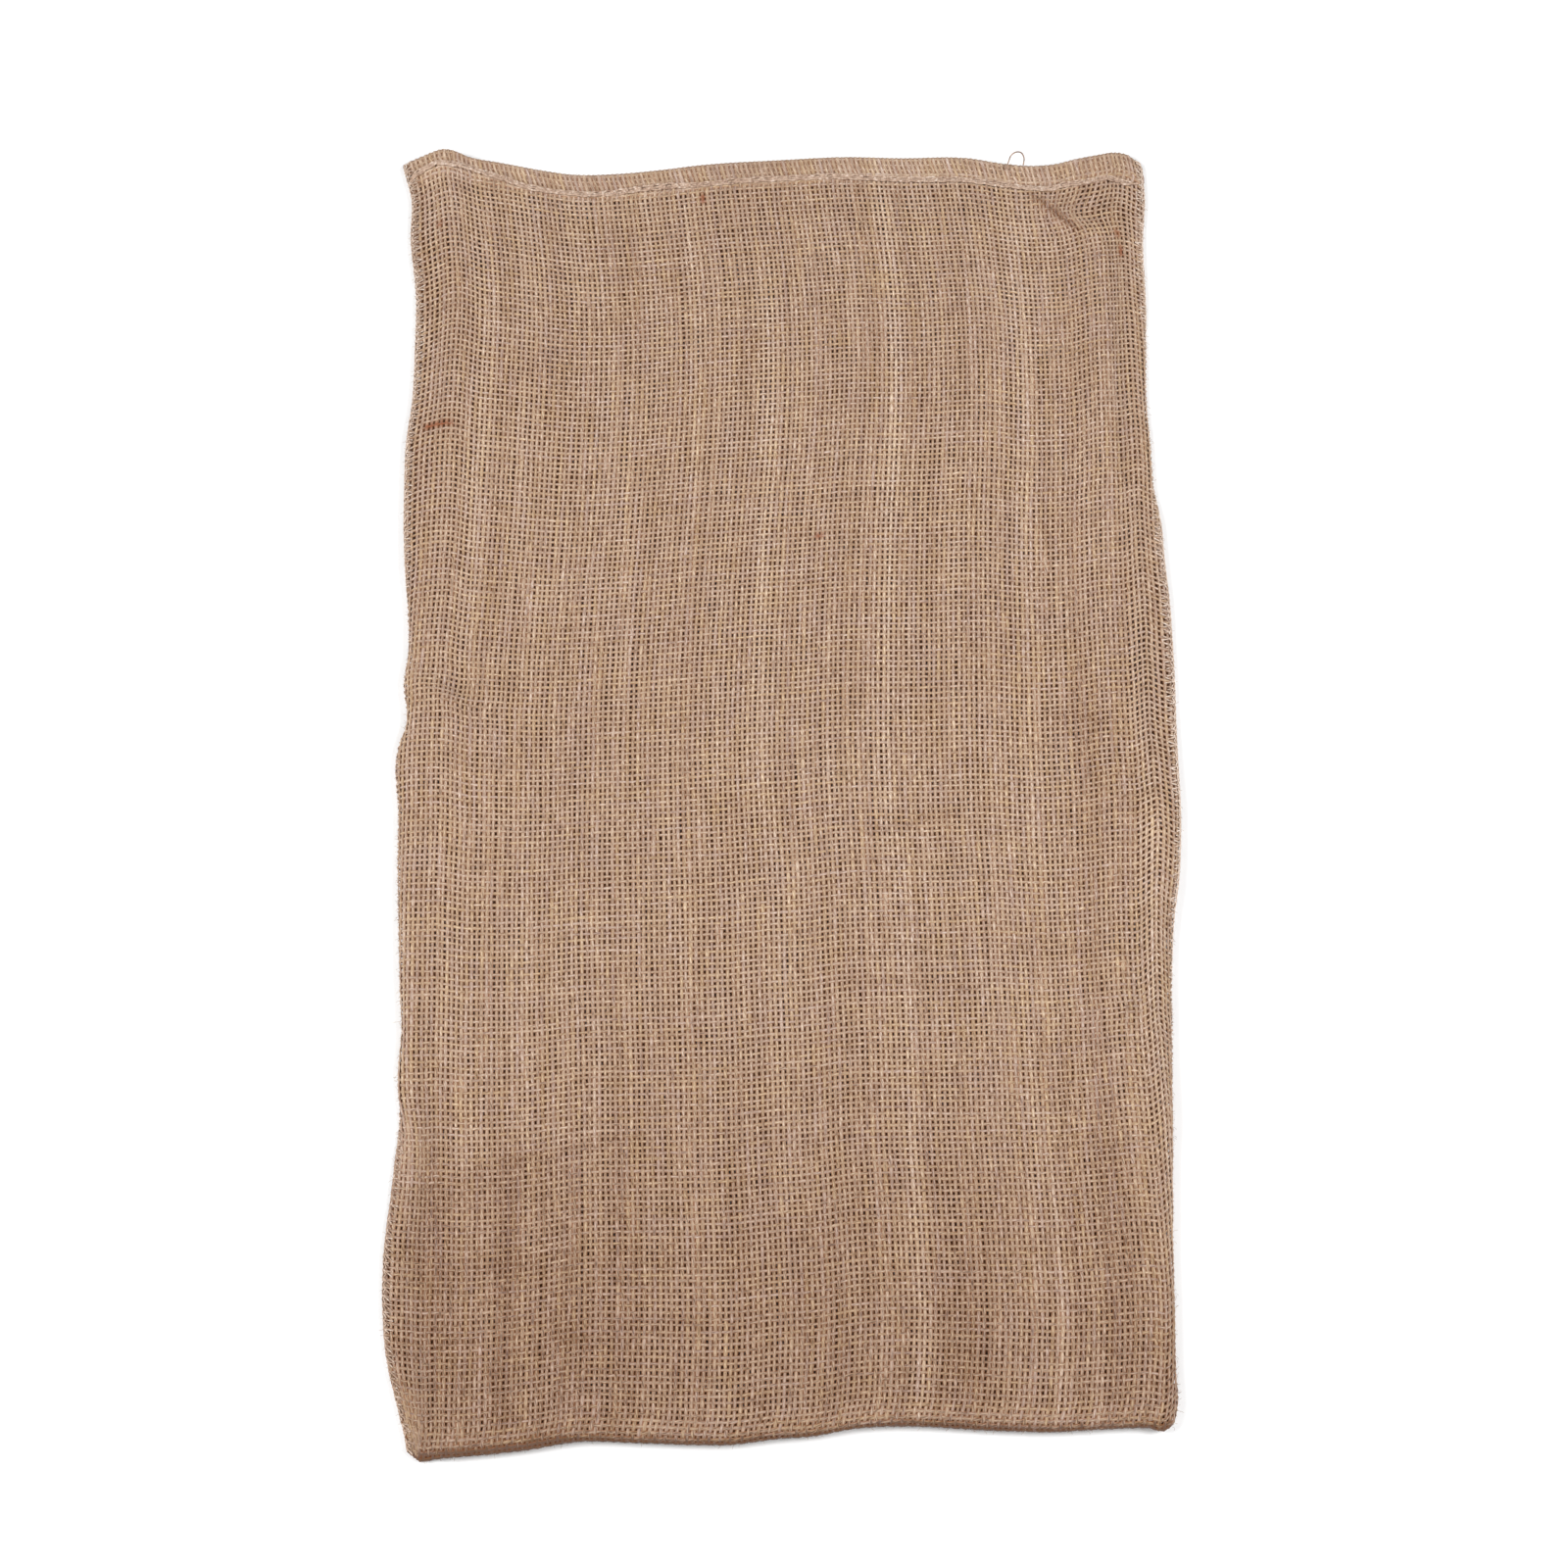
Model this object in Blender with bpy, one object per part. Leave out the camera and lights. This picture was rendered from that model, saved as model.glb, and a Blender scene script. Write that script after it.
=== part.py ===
"""An empty jute sack lying flat on its back.

It is one length of hessian, folded across at the bottom, closed along both sides by an overlocked seam
and hemmed round the mouth. X runs across the sack, Y from the bottom fold to the mouth and Z up, in metres.
The tables below are in millimetres. "Up" is the distance from the bottom fold towards the mouth.
"""

from collections import namedtuple

import bpy
import numpy as np

MM = 0.001

# Sizes of the cloth, in millimetres.
CLOTH = 1.6  # one layer of hessian
HEM = 2.8  # the two layers of the turned hem
HEM_DEPTH = 20.0  # mouth edge to the hem's raw edge, inside
HEM_STEP = 6.0  # the stretch in which the hem thins to one layer
LAYER_GAP = 0.4  # between the front and the back where the side seam holds them together
SEAM_WIDTH = 8.0  # the overlocked border, where it lies flat and shows
SEAM_RISE = 26.0  # the stretch in which the front rises from that border to its full height
SEAM_ROUND = 0.9  # the round of the border's cut edge
SIDE_ROLL = 15.0  # the round of a side where the seam has rolled under
SIDE_ROLL_UNDER = 7.0
SIDE_ROLL_EDGE = 4.5  # height of the rolled side's outermost line
FOLD_ROLL = 9.5  # the round of the bottom fold
FOLD_ROLL_UNDER = 8.0
FOLD_EDGE_SHARE = 0.43  # height of the bottom fold's outermost line, as a share of the front's height
NOMINAL_WIDTH = 582.0
STITCH_TROUGH = 0.9  # how far the chain stitch draws the mouth hem down
STITCH_TROUGH_WIDTH = 2.8

# The sides: half widths left and right of the middle, how much of each side's seam lies flat and shows
# (1) instead of being rolled under (0), and the height of the front above the floor.
Section = namedtuple("Section", "up left right left_seam right_seam height")
SECTIONS = [
    Section(-12, 248, 277, 1.0, 0.0, 11.8),
    Section(0, 250, 273, 1.0, 0.0, 12.0),
    Section(28, 258, 277, 1.0, 0.0, 12.3),
    Section(56, 266, 277, 1.0, 0.0, 12.5),
    Section(83, 270, 278, 1.0, 0.0, 12.2),
    Section(121, 272, 279, 1.0, 0.0, 11.8),
    Section(177, 268, 281.5, 1.0, 0.0, 12.6),
    Section(219, 266, 283.5, 0.9, 0.0, 13.0),
    Section(248, 269, 284.5, 0.6, 0.0, 13.0),
    Section(284, 268, 286, 0.3, 0.0, 12.8),
    Section(317, 271, 287, 0.2, 0.0, 12.6),
    Section(370, 274.5, 291.5, 0.2, 0.0, 12.4),
    Section(393, 276, 295.6, 0.2, 0.0, 12.6),
    Section(445, 278, 300, 0.2, 0.2, 12.8),
    Section(501, 280, 300.4, 0.2, 0.6, 13.2),
    Section(513, 276.5, 300.6, 0.2, 0.7, 13.2),
    Section(549, 279, 301.4, 0.2, 0.8, 13.0),
    Section(576, 277.4, 301.4, 0.2, 0.8, 12.6),
    Section(608, 279, 301, 0.2, 0.7, 12.2),
    Section(652, 283.5, 298.6, 0.3, 0.6, 12.2),
    Section(679, 285.5, 297.5, 0.4, 0.6, 12.4),
    Section(706, 286.5, 294, 0.5, 0.6, 12.6),
    Section(749, 287, 293, 0.6, 0.7, 12.9),
    Section(779, 284.5, 292, 0.7, 0.8, 13.0),
    Section(831, 284.4, 293.7, 0.9, 0.9, 12.8),
    Section(876, 286, 295, 1.0, 1.0, 12.4),
    Section(927, 292.6, 295.3, 1.0, 1.0, 12.2),
    Section(968, 294.6, 298.7, 1.0, 1.0, 12.2),
    Section(982, 298.5, 298.2, 1.0, 1.0, 12.2),
    Section(994, 301.5, 297.6, 1.0, 1.0, 12.2),
    Section(1000, 300, 295.5, 1.0, 1.0, 12.2),
]

# The two ends: how far up the front's edge lies at each share of the way from the left side to the right.
End = namedtuple("End", "share up")
MOUTH = [
    End(0, 996),
    End(0.0285, 1002.6),
    End(0.058, 1004.4),
    End(0.09, 997),
    End(0.133, 991.7),
    End(0.175, 986),
    End(0.223, 981),
    End(0.292, 981.7),
    End(0.345, 985),
    End(0.408, 990),
    End(0.515, 994.4),
    End(0.594, 997),
    End(0.675, 996),
    End(0.765, 996),
    End(0.814, 990.7),
    End(0.848, 989),
    End(0.882, 990.7),
    End(0.9085, 995),
    End(0.942, 999),
    End(0.9835, 1003.5),
    End(1, 998),
]
BOTTOM = [
    End(0, -6.5),
    End(0.017, -12),
    End(0.032, -11),
    End(0.09, -8.4),
    End(0.159, -4.6),
    End(0.225, 0.5),
    End(0.294, 0),
    End(0.378, -1.4),
    End(0.42, -1.4),
    End(0.486, 2.4),
    End(0.534, 4.3),
    End(0.583, 8.8),
    End(0.654, 10.7),
    End(0.7125, 9.4),
    End(0.782, 7.5),
    End(0.844, 6.9),
    End(0.914, 8.8),
    End(0.969, 9.4),
    End(0.99, 8.2),
    End(1, 12),
]

# The back's mouth edge past (+) or short of (-) the front's, at each share of the width.
BackMouth = namedtuple("BackMouth", "share past")
BACK_MOUTH = [
    BackMouth(0, 0),
    BackMouth(0.05, -2),
    BackMouth(0.2, 3),
    BackMouth(0.32, 2),
    BackMouth(0.5, -3),
    BackMouth(0.8, -3),
    BackMouth(0.86, 2),
    BackMouth(0.95, -2),
    BackMouth(1, 0),
]

# The chain stitch of the mouth hem: how far below the mouth edge it runs at each share of the width.
Stitch = namedtuple("Stitch", "share below")
HEM_STITCH = [
    Stitch(0, 13),
    Stitch(0.1, 9),
    Stitch(0.2, 15),
    Stitch(0.35, 18),
    Stitch(0.5, 18),
    Stitch(0.7, 20),
    Stitch(0.85, 19),
    Stitch(0.95, 21),
    Stitch(1, 17),
]

# The folds of the front: soft ridges (+) and troughs (-) along straight lines from start to end.
Fold = namedtuple("Fold", "name start_x start_up end_x end_up half_width height")
FOLDS = [
    Fold("crease in the mouth's right corner", 210, 958, 252, 930, 8, 2.6),
    Fold("trough along the right seam, top", 294, 925, 279, 849, 9, -2.6),
    Fold("trough along the right seam, lower", 279, 849, 273, 721, 9, -2.2),
    Fold("ridge beside that trough", 258, 910, 249, 721, 14, 2.0),
    Fold("pinch in the right seam", 287, 576, 287, 507, 8, -3.2),
    Fold("fold over the right bulge", 254, 475, 283, 432, 12, 3.0),
    Fold("right ridge, upper", 274, 363, 264, 298, 9, 3.2),
    Fold("right ridge, lower", 264, 298, 280, 215, 9, 2.6),
    Fold("trough inside the right ridge", 250, 380, 243, 290, 13, -2.2),
    Fold("trough to the right corner", 240, 153, 225, 47, 16, -2.6),
    Fold("pucker of the left seam", -279, 552, -238, 528, 8, 3.6),
    Fold("trough above the pucker", -272, 570, -234, 548, 9, -2.2),
    Fold("ridge down from the pucker", -239, 527, -236, 461, 9, 1.8),
    Fold("slack of the left side", -247, 648, -243, 575, 12, 1.4),
    Fold("crease from folding in half", 22, 470, 297, 454, 9, 1.5),
    Fold("upper cross crease", 45, 668, 165, 668, 9, -1.2),
    Fold("lower cross crease", -129, 119, 211, 119, 11, -1.3),
    Fold("slack of the upper left", -180, 900, -200, 660, 42, 1.6),
    Fold("hollow of the upper middle", -20, 880, 10, 570, 55, -1.1),
    Fold("slack of the upper right", 150, 820, 138, 560, 45, 1.3),
    Fold("slack of the lower left", -130, 400, -110, 170, 55, 1.4),
    Fold("hollow of the lower middle", 60, 360, 50, 150, 50, -1.0),
    Fold("slack of the lower right", 165, 380, 175, 180, 40, 1.3),
]

# The mesh lines: distances from each side and each end, close together where the cloth bends most.
SIDE_LINES = [0, 1, 4, 8, 13, 20, 28, 38, 50, 64, 80]
FOLD_LINES = [0, 1, 3.5, 8, 14, 22, 32, 45]
MOUTH_LINES = [0, 1.5, 5, 9, 12, 14.5, 17, 19.5, 22.5, 26, 31, 39]
MESH_SPACING = 22.0


def column(table, name):
    return np.array([getattr(row, name) for row in table], float)


def through(places, known_places, known):
    """A soft curve through the rows of a table, read at the given places."""
    slopes = np.gradient(known, known_places)
    row = np.clip(np.searchsorted(known_places, places) - 1, 0, len(known_places) - 2)
    span = known_places[row + 1] - known_places[row]
    t = np.clip((places - known_places[row]) / span, 0, 1)
    starts = (1 + 2 * t) * (1 - t) ** 2 * known[row] + t * (1 - t) ** 2 * span * slopes[row]
    ends = t * t * (3 - 2 * t) * known[row + 1] - t * t * (1 - t) * span * slopes[row + 1]
    return starts + ends


def section(up, name):
    return through(up, column(SECTIONS, "up"), column(SECTIONS, name))


def ease(share):
    """0 to 1 with a level start and end."""
    t = np.clip(share, 0, 1)
    return t * t * (3 - 2 * t)


def quarter(share):
    """0 to 1 along a quarter circle, upright at 0 and level at 1."""
    return np.sqrt(1 - (1 - np.clip(share, 0, 1)) ** 2)


def folds_at(x, up):
    """What all folds together add to the front's height."""
    total = np.zeros_like(x)
    for fold in FOLDS:
        run_x = fold.end_x - fold.start_x
        run_up = fold.end_up - fold.start_up
        along = ((x - fold.start_x) * run_x + (up - fold.start_up) * run_up) / (run_x**2 + run_up**2)
        along = np.clip(along, 0, 1)
        away = np.hypot(x - fold.start_x - along * run_x, up - fold.start_up - along * run_up)
        total += fold.height * np.exp(-((away / fold.half_width) ** 2))
    return total


def lay(share, along, is_front):
    """Where the outer face of the front or the back lies, for shares of the width and of the length."""
    bottom = through(share, column(BOTTOM, "share"), column(BOTTOM, "up"))
    mouth = through(share, column(MOUTH, "share"), column(MOUTH, "up"))
    if not is_front:
        mouth = mouth + through(share, column(BACK_MOUTH, "share"), column(BACK_MOUTH, "past"))
    up = bottom + along * (mouth - bottom)
    left = section(up, "left")
    right = section(up, "right")
    x = share * (left + right) - left
    from_side = np.minimum(share, 1 - share) * (left + right)
    from_fold = up - bottom
    from_mouth = mouth - up

    hemmed = ease((HEM_DEPTH + HEM_STEP - from_mouth) / HEM_STEP) * ease(from_side / SEAM_WIDTH)
    layer = CLOTH + (HEM - CLOTH) * hemmed
    flat = np.clip(np.where(share < 0.5, section(up, "left_seam"), section(up, "right_seam")), 0, 1)
    stitch = through(share, column(HEM_STITCH, "share"), column(HEM_STITCH, "below"))
    trough = STITCH_TROUGH * np.exp(-(((from_mouth - stitch) / STITCH_TROUGH_WIDTH) ** 2))
    height = section(up, "height") + folds_at(x, up) - trough

    # Across: a flat border along a seam that shows, a quarter round where it has rolled under.
    border = 2 * layer + LAYER_GAP
    seamed = border / 2 * (1 + quarter(from_side / SEAM_ROUND))
    seamed += (height - border) * ease((from_side - SEAM_WIDTH) / SEAM_RISE)
    rolled = SIDE_ROLL_EDGE + (height - SIDE_ROLL_EDGE) * quarter(from_side / SIDE_ROLL)
    top = flat * seamed + (1 - flat) * rolled
    side_edge = flat * border / 2 + (1 - flat) * SIDE_ROLL_EDGE

    # Along: the bottom fold's round, which is tight where it meets the flat border.
    to_fold = from_side / np.maximum(from_side + from_fold, 1e-6)
    edge = side_edge + (np.maximum(side_edge, FOLD_EDGE_SHARE * top) - side_edge) * to_fold
    on_border = flat * (1 - ease((from_side - SEAM_WIDTH) / SEAM_RISE))
    if is_front:
        roll = SEAM_ROUND * on_border + FOLD_ROLL * (1 - on_border)
        return x, up, edge + (top - edge) * quarter(from_fold / roll), layer
    roll = SEAM_ROUND * on_border + FOLD_ROLL_UNDER * (1 - on_border)
    side = flat * quarter(from_side / SEAM_ROUND) + (1 - flat) * quarter(from_side / SIDE_ROLL_UNDER)
    return x, up, edge * (1 - side * quarter(from_fold / roll)), layer


def mesh_lines(near, far, length):
    """Positions from 0 to length: the given lines from each end, evenly filled between."""
    gap = length - near[-1] - far[-1]
    between = np.linspace(near[-1], length - far[-1], round(gap / MESH_SPACING) + 1)[1:-1]
    return np.concatenate([near, between, length - np.array(far[::-1])])


def cloth_material():
    material = bpy.data.materials.new("jute_hessian")
    material.use_nodes = True
    shader = material.node_tree.nodes["Principled BSDF"]
    shader.inputs["Base Color"].default_value = (0.54, 0.37, 0.24, 1)
    shader.inputs["Roughness"].default_value = 0.9
    shader.inputs["Metallic"].default_value = 0
    return material


def sack_cloth():
    """The outer face of the pocket as one sheet, thickened inwards to the cloth and its hem."""
    length = column(MOUTH, "up").mean() - column(BOTTOM, "up").mean()
    shares = mesh_lines(SIDE_LINES, SIDE_LINES, NOMINAL_WIDTH) / NOMINAL_WIDTH
    alongs = mesh_lines(FOLD_LINES, MOUTH_LINES, length) / length
    share, along = np.meshgrid(shares, alongs)
    rows, columns = share.shape

    # The front and the back are one sheet: they share its points along both sides and the bottom fold.
    front = np.arange(rows * columns).reshape(rows, columns)
    back = front.copy()
    back[1:, 1:-1] = front.size + np.arange((rows - 1) * (columns - 2)).reshape(rows - 1, columns - 2)
    points = np.zeros((back.max() + 1, 3))
    layers = np.zeros(len(points))
    for numbers, is_front in ((back, False), (front, True)):
        x, up, height, layer = lay(share, along, is_front)
        points[numbers] = np.stack([x, up, height], axis=-1)
        layers[numbers] = layer
    points[:, :2] -= (points[:, :2].min(axis=0) + points[:, :2].max(axis=0)) / 2

    front_faces = np.stack([front[:-1, :-1], front[:-1, 1:], front[1:, 1:], front[1:, :-1]], axis=-1)
    back_faces = np.stack([back[:-1, :-1], back[1:, :-1], back[1:, 1:], back[:-1, 1:]], axis=-1)
    faces = np.concatenate([front_faces.reshape(-1, 4), back_faces.reshape(-1, 4)])

    mesh = bpy.data.meshes.new("sack_cloth")
    mesh.from_pydata((points * MM).tolist(), [], faces.tolist())
    mesh.materials.append(cloth_material())
    sack = bpy.data.objects.new("sack_cloth", mesh)
    bpy.context.collection.objects.link(sack)

    hem = sack.vertex_groups.new(name="hem")
    for number, layer in enumerate(layers):
        hem.add([number], float((layer - CLOTH) / (HEM - CLOTH)), "REPLACE")
    thickness = sack.modifiers.new("cloth thickness", "SOLIDIFY")
    thickness.thickness = HEM * MM
    thickness.vertex_group = hem.name
    thickness.thickness_vertex_group = CLOTH / HEM
    thickness.offset = -1
    thickness.use_even_offset = True
    mesh.shade_smooth()
    mesh.set_sharp_from_angle(angle=np.radians(40))
    return sack


for leftover in list(bpy.data.objects):
    bpy.data.objects.remove(leftover)
sack_cloth()
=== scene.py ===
import bpy
import numpy as np
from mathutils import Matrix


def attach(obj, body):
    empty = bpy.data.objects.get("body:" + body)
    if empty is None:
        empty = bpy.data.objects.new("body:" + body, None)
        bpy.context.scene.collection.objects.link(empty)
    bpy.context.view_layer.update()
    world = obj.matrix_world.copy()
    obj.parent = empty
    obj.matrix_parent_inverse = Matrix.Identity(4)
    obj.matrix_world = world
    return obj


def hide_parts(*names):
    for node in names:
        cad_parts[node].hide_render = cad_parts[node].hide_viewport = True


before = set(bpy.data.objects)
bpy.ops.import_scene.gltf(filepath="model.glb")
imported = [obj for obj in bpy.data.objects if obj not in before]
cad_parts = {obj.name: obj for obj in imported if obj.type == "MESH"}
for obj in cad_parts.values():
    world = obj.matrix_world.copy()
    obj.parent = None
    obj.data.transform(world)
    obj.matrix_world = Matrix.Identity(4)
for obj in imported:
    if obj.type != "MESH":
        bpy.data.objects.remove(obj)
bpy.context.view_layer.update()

# --- How the sack lies -------------------------------------------------------------------------------
# One length of hessian is folded across at the bottom and seamed up both sides. It lies on its back,
# a little slack, with its lower seams rolled under. All in millimetres, up from the bottom fold.

MM = 0.001
ORIGIN_UP = 496.278  # the middle of the sack, where the frame's origin is
NOMINAL_WIDTH = 582.0
NOMINAL_LENGTH = 991.4
HEM_BORDER = 6.0  # both layers of a seam border, where the hem runs into it
SEAM_BORDER = 3.6  # both layers of a seam border
SEAM_WIDTH = 8.0
SEAM_RISE = 26.0  # the cloth beside a seam border rises to its height over this width
ROLLED_EDGE = 4.5  # how high a side's edge stands where it has rolled under
ROLLED_UNDER = 30.0  # the most cloth that has rolled under at a side
STITCH_SINK = 0.9  # how deep the hem's stitch is drawn into the cloth

# up, half width left, half width right, left seam flat, right seam flat, height of the front
SECTIONS = np.array([
    (-12, 248, 277, 1.0, 0.0, 11.8),
    (0, 250, 273, 1.0, 0.0, 12.0),
    (28, 258, 277, 1.0, 0.0, 12.3),
    (56, 266, 277, 1.0, 0.0, 12.5),
    (83, 270, 278, 1.0, 0.0, 12.2),
    (121, 272, 279, 1.0, 0.0, 11.8),
    (177, 268, 281.5, 1.0, 0.0, 12.6),
    (219, 266, 283.5, 0.9, 0.0, 13.0),
    (248, 269, 284.5, 0.6, 0.0, 13.0),
    (284, 268, 286, 0.3, 0.0, 12.8),
    (317, 271, 287, 0.2, 0.0, 12.6),
    (370, 274.5, 291.5, 0.2, 0.0, 12.4),
    (393, 276, 295.6, 0.2, 0.0, 12.6),
    (445, 278, 300, 0.2, 0.2, 12.8),
    (501, 280, 300.4, 0.2, 0.6, 13.2),
    (513, 276.5, 300.6, 0.2, 0.7, 13.2),
    (549, 279, 301.4, 0.2, 0.8, 13.0),
    (576, 277.4, 301.4, 0.2, 0.8, 12.6),
    (608, 279, 301, 0.2, 0.7, 12.2),
    (652, 283.5, 298.6, 0.3, 0.6, 12.2),
    (679, 285.5, 297.5, 0.4, 0.6, 12.4),
    (706, 286.5, 294, 0.5, 0.6, 12.6),
    (749, 287, 293, 0.6, 0.7, 12.9),
    (779, 284.5, 292, 0.7, 0.8, 13.0),
    (831, 284.4, 293.7, 0.9, 0.9, 12.8),
    (876, 286, 295, 1.0, 1.0, 12.4),
    (927, 292.6, 295.3, 1.0, 1.0, 12.2),
    (968, 294.6, 298.7, 1.0, 1.0, 12.2),
    (982, 298.5, 298.2, 1.0, 1.0, 12.2),
    (994, 301.5, 297.6, 1.0, 1.0, 12.2),
    (1000, 300, 295.5, 1.0, 1.0, 12.2),
])
# share of the width, how far up the front's mouth edge lies there
MOUTH = np.array([
    (0, 996), (0.0285, 1002.6), (0.058, 1004.4), (0.09, 997), (0.133, 991.7), (0.175, 986), (0.223, 981),
    (0.292, 981.7), (0.345, 985), (0.408, 990), (0.515, 994.4), (0.594, 997), (0.675, 996), (0.765, 996),
    (0.814, 990.7), (0.848, 989), (0.882, 990.7), (0.9085, 995), (0.942, 999), (0.9835, 1003.5), (1, 998),
])
BOTTOM = np.array([
    (0, -6.5), (0.017, -12), (0.032, -11), (0.09, -8.4), (0.159, -4.6), (0.225, 0.5), (0.294, 0),
    (0.378, -1.4), (0.42, -1.4), (0.486, 2.4), (0.534, 4.3), (0.583, 8.8), (0.654, 10.7), (0.7125, 9.4),
    (0.782, 7.5), (0.844, 6.9), (0.914, 8.8), (0.969, 9.4), (0.99, 8.2), (1, 12),
])
BACK_MOUTH = np.array([
    (0, 0), (0.05, -2), (0.2, 3), (0.32, 2), (0.5, -3), (0.8, -3), (0.86, 2), (0.95, -2), (1, 0),
])
# how far below the mouth edge the hem's chain stitch runs, at each share of the width
HEM_STITCH = np.array([
    (0, 13), (0.1, 9), (0.2, 15), (0.35, 18), (0.5, 18), (0.7, 20), (0.85, 19), (0.95, 21), (1, 17),
])
# the front's soft ridges and troughs: start x, start up, end x, end up, half width, height
FOLDS = [
    (210, 958, 252, 930, 8, 2.6),  # crease in the mouth's right corner
    (294, 925, 279, 849, 9, -2.6),  # trough along the right seam, top
    (279, 849, 273, 721, 9, -2.2),  # trough along the right seam, lower
    (258, 910, 249, 721, 14, 2.0),  # ridge beside that trough
    (287, 576, 287, 507, 8, -3.2),  # pinch in the right seam
    (254, 475, 283, 432, 12, 3.0),  # fold over the right bulge
    (274, 363, 264, 298, 9, 3.2),  # right ridge, upper
    (264, 298, 280, 215, 9, 2.6),  # right ridge, lower
    (250, 380, 243, 290, 13, -2.2),  # trough inside the right ridge
    (240, 153, 225, 47, 16, -2.6),  # trough to the right corner
    (-279, 552, -238, 528, 8, 3.6),  # pucker of the left seam
    (-272, 570, -234, 548, 9, -2.2),  # trough above the pucker
    (-239, 527, -236, 461, 9, 1.8),  # ridge down from the pucker
    (-247, 648, -243, 575, 12, 1.4),  # slack of the left side
    (22, 470, 297, 454, 9, 1.5),  # crease from folding in half
    (45, 668, 165, 668, 9, -1.2),  # upper cross crease
    (-129, 119, 211, 119, 11, -1.3),  # lower cross crease
    (-180, 900, -200, 660, 42, 1.6),  # slack of the upper left
    (-20, 880, 10, 570, 55, -1.1),  # hollow of the upper middle
    (150, 820, 138, 560, 45, 1.3),  # slack of the upper right
    (-130, 400, -110, 170, 55, 1.4),  # slack of the lower left
    (60, 360, 50, 150, 50, -1.0),  # hollow of the lower middle
    (165, 380, 175, 180, 40, 1.3),  # slack of the lower right
]


def through(places, rows, column=1):
    """A soft curve through a table's column, read at the given places."""
    known_places = rows[:, 0]
    known = rows[:, column]
    slopes = np.gradient(known, known_places)
    row = np.clip(np.searchsorted(known_places, places) - 1, 0, len(known_places) - 2)
    span = known_places[row + 1] - known_places[row]
    t = np.clip((places - known_places[row]) / span, 0, 1)
    starts = (1 + 2 * t) * (1 - t) ** 2 * known[row] + t * (1 - t) ** 2 * span * slopes[row]
    ends = t * t * (3 - 2 * t) * known[row + 1] - t * t * (1 - t) * span * slopes[row + 1]
    return starts + ends


def ease(share):
    """0 to 1 with a level start and end."""
    t = np.clip(share, 0, 1)
    return t * t * (3 - 2 * t)


def quarter(share):
    """0 to 1 along a quarter circle, upright at 0 and level at 1."""
    return np.sqrt(1 - (1 - np.clip(share, 0, 1)) ** 2)


def from_line(x, up, start_x, start_up, end_x, end_up):
    """How far points lie from a straight line between two ends."""
    run_x = end_x - start_x
    run_up = end_up - start_up
    reach = np.clip(((x - start_x) * run_x + (up - start_up) * run_up) / (run_x**2 + run_up**2), 0, 1)
    return np.hypot(x - start_x - reach * run_x, up - start_up - reach * run_up)


def lay(share, along, is_front):
    """Where the outer face of the front or the back lies, for shares of the width and of the length."""
    bottom = through(share, BOTTOM)
    mouth = through(share, MOUTH)
    if not is_front:
        mouth = mouth + through(share, BACK_MOUTH)
    up = bottom + along * (mouth - bottom)
    left = through(up, SECTIONS, 1)
    right = through(up, SECTIONS, 2)
    x = share * (left + right) - left
    from_side = np.minimum(share, 1 - share) * (left + right)
    from_fold = up - bottom
    from_mouth = mouth - up

    height = through(up, SECTIONS, 5)
    for *line, half_width, rise in FOLDS:
        height = height + rise * np.exp(-((from_line(x, up, *line) / half_width) ** 2))
    from_stitch = from_mouth - through(share, HEM_STITCH)
    height = height - STITCH_SINK * np.exp(-((from_stitch / 2.8) ** 2))

    # A flat border along a seam that shows, and a quarter round where it has rolled under.
    flat = np.clip(np.where(share < 0.5, through(up, SECTIONS, 3), through(up, SECTIONS, 4)), 0, 1)
    hemmed = ease((26 - from_mouth) / 6) * ease(from_side / SEAM_WIDTH)
    border = SEAM_BORDER + (HEM_BORDER - SEAM_BORDER) * hemmed
    seamed = border / 2 * (1 + quarter(from_side / 0.9))
    seamed = seamed + (height - border) * ease((from_side - SEAM_WIDTH) / SEAM_RISE)
    rolled = ROLLED_EDGE + (height - ROLLED_EDGE) * quarter(from_side / 15)
    top = flat * seamed + (1 - flat) * rolled
    side_edge = flat * border / 2 + (1 - flat) * ROLLED_EDGE

    # The bottom fold's round, tight where it meets that border.
    to_fold = from_side / np.maximum(from_side + from_fold, 1e-6)
    edge = side_edge + (np.maximum(side_edge, 0.43 * top) - side_edge) * to_fold
    on_border = flat * (1 - ease((from_side - SEAM_WIDTH) / SEAM_RISE))
    if is_front:
        roll = 0.9 * on_border + 9.5 * (1 - on_border)
        return x, up, edge + (top - edge) * quarter(from_fold / roll)
    roll = 0.9 * on_border + 8 * (1 - on_border)
    side = flat * quarter(from_side / 0.9) + (1 - flat) * quarter(from_side / 7)
    return x, up, edge * (1 - side * quarter(from_fold / roll))


side_steps = 16 * np.linspace(0, 1, 26) ** 2
shares = np.concatenate([side_steps, np.linspace(16, NOMINAL_WIDTH - 16, 300)[1:-1],
                         NOMINAL_WIDTH - side_steps[::-1]]) / NOMINAL_WIDTH
fold_steps = 12 * np.linspace(0, 1, 24) ** 2
alongs = np.concatenate([fold_steps, np.linspace(12, NOMINAL_LENGTH, 480)[1:]]) / NOMINAL_LENGTH
grid = np.meshgrid(shares, alongs)
front_face = np.stack(lay(*grid, True), axis=-1) - (0, ORIGIN_UP, 0)
back_face = np.stack(lay(*grid, False), axis=-1) - (0, ORIGIN_UP, 0)

# --- The hessian -------------------------------------------------------------------------------------
# Plain woven jute, undyed: single twisted yarns, thicker lengthwise, uneven in width and colour, set
# so far apart that the light falls through. Each yarn is made, over and under the ones it crosses.

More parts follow.
